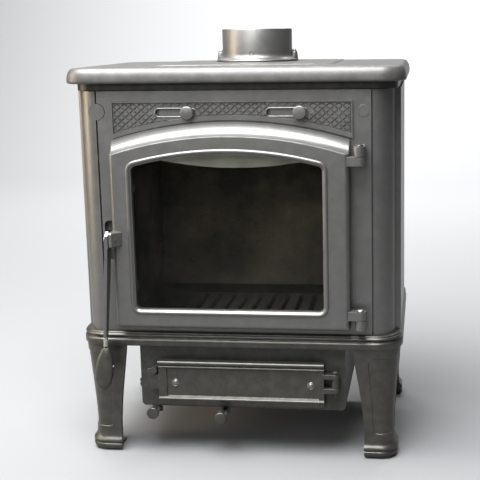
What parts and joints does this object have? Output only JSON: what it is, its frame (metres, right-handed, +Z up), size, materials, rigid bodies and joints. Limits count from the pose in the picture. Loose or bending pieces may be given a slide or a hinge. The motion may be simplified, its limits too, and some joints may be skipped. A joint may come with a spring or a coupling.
{
  "type": "wood burning stove",
  "caption": "Cast wood burning stove on splayed legs with an arched glass door, sliding air controls, a top flue collar and an ash pit with a hinged door below.",
  "frame": {"origin": "on the floor, under the middle of the whole part's box in plan", "axes": "+Z up out of the flue collar, -Y towards the door, +X to the right as seen from the front"},
  "size_m": [0.6, 0.447, 0.7697],
  "materials": {
    "stove_paint": "matte heat-proof paint on cast iron, mid grey",
    "dark_paint": "matte heat-proof paint, darker and warmer",
    "fire_iron": "bare iron, sooty",
    "steel": "plain steel",
    "rope": "woven glass-fibre rope and tape",
    "firebrick": "pressed fire board, smoke stained",
    "fire_glass": "clear heat-proof glass, lightly sooted"
  },
  "bodies": {
    "stove": {"top_plate": "stove_paint", "flue_collar": "stove_paint", "collar_bolt_left": "steel", "collar_bolt_right": "steel", "collar_screw_front": "dark_paint", "top_frame": "dark_paint", "front_panel": "stove_paint", "left_side_panel": "stove_paint", "right_side_panel": "stove_paint", "back_panel": "stove_paint", "rear_flue_cover": "stove_paint", "base_plate": "stove_paint", "leg_front_left": "stove_paint", "leg_front_right": "stove_paint", "leg_rear_left": "stove_paint", "leg_rear_right": "stove_paint", "leg_bolt_front_left": "steel", "leg_bolt_front_right": "steel", "leg_bolt_rear_left": "steel", "leg_bolt_rear_right": "steel", "vent_grille": "stove_paint", "latch_keeper": "dark_paint", "firebrick_left": "firebrick", "firebrick_right": "firebrick", "firebrick_back": "firebrick", "baffle_plate": "firebrick", "air_wash_plate": "fire_iron", "upper_hinge_pin": "dark_paint", "lower_hinge_pin": "steel", "ash_pit_housing": "dark_paint", "ash_door_hinge_pin": "steel", "ash_pan": "dark_paint"},
    "door": {"door_frame": "stove_paint", "glass_gasket": "rope", "door_glass": "fire_glass", "door_rope_seal": "rope", "glass_clip_lower_left": "steel", "glass_clip_upper_left": "steel", "glass_clip_lower_right": "steel", "glass_clip_upper_right": "steel", "handle_pivot_pin": "dark_paint"},
    "handle": {"handle_lever": "stove_paint", "handle_ferrule": "steel", "handle_grip": "stove_paint", "grip_pin": "steel"},
    "ash_door": {"ash_door": "dark_paint", "ash_door_screw_left": "steel", "ash_door_screw_right": "steel"},
    "ash_latch": {"ash_door_latch": "dark_paint"},
    "left_air_control": {"left_air_shutter": "fire_iron", "left_air_knob": "stove_paint"},
    "right_air_control": {"right_air_shutter": "fire_iron", "right_air_knob": "stove_paint"},
    "riddling": {"riddling_grate": "fire_iron", "riddling_rod": "dark_paint", "riddling_knob": "dark_paint", "riddling_link": "fire_iron"},
    "primary_air": {"primary_air_rod": "dark_paint", "primary_air_knob": "dark_paint", "primary_air_slide": "fire_iron"}
  },
  "joints": [
    {"name": "door_hinge", "type": "hinge", "parent": "stove", "child": "door", "pos_m": [0.222, -0.1945, 0.41], "axis": [0, 0, 1], "range_deg": [0, 110]},
    {"name": "handle_turn", "type": "hinge", "parent": "door", "child": "handle", "pos_m": [-0.22, -0.2095, 0.408], "axis": [-1, 0, 0], "range_deg": [0, 35]},
    {"name": "ash_door_hinge", "type": "hinge", "parent": "stove", "child": "ash_door", "pos_m": [0.175, -0.1785, 0.144], "axis": [0, 0, 1], "range_deg": [0, 110]},
    {"name": "ash_latch_turn", "type": "hinge", "parent": "stove", "child": "ash_latch", "pos_m": [-0.154, -0.1865, 0.1625], "axis": [0, -1, 0], "range_deg": [0, 90]},
    {"name": "left_air_slide", "type": "slide", "parent": "stove", "child": "left_air_control", "axis": [1, 0, 0], "range_m": [-0.052, 0.006]},
    {"name": "right_air_slide", "type": "slide", "parent": "stove", "child": "right_air_control", "axis": [1, 0, 0], "range_m": [-0.052, 0.006]},
    {"name": "riddling_pull", "type": "slide", "parent": "stove", "child": "riddling", "axis": [0, -1, 0], "range_m": [0, 0.025]},
    {"name": "primary_air_pull", "type": "slide", "parent": "stove", "child": "primary_air", "axis": [0, -1, 0], "range_m": [0, 0.022]}
  ]
}
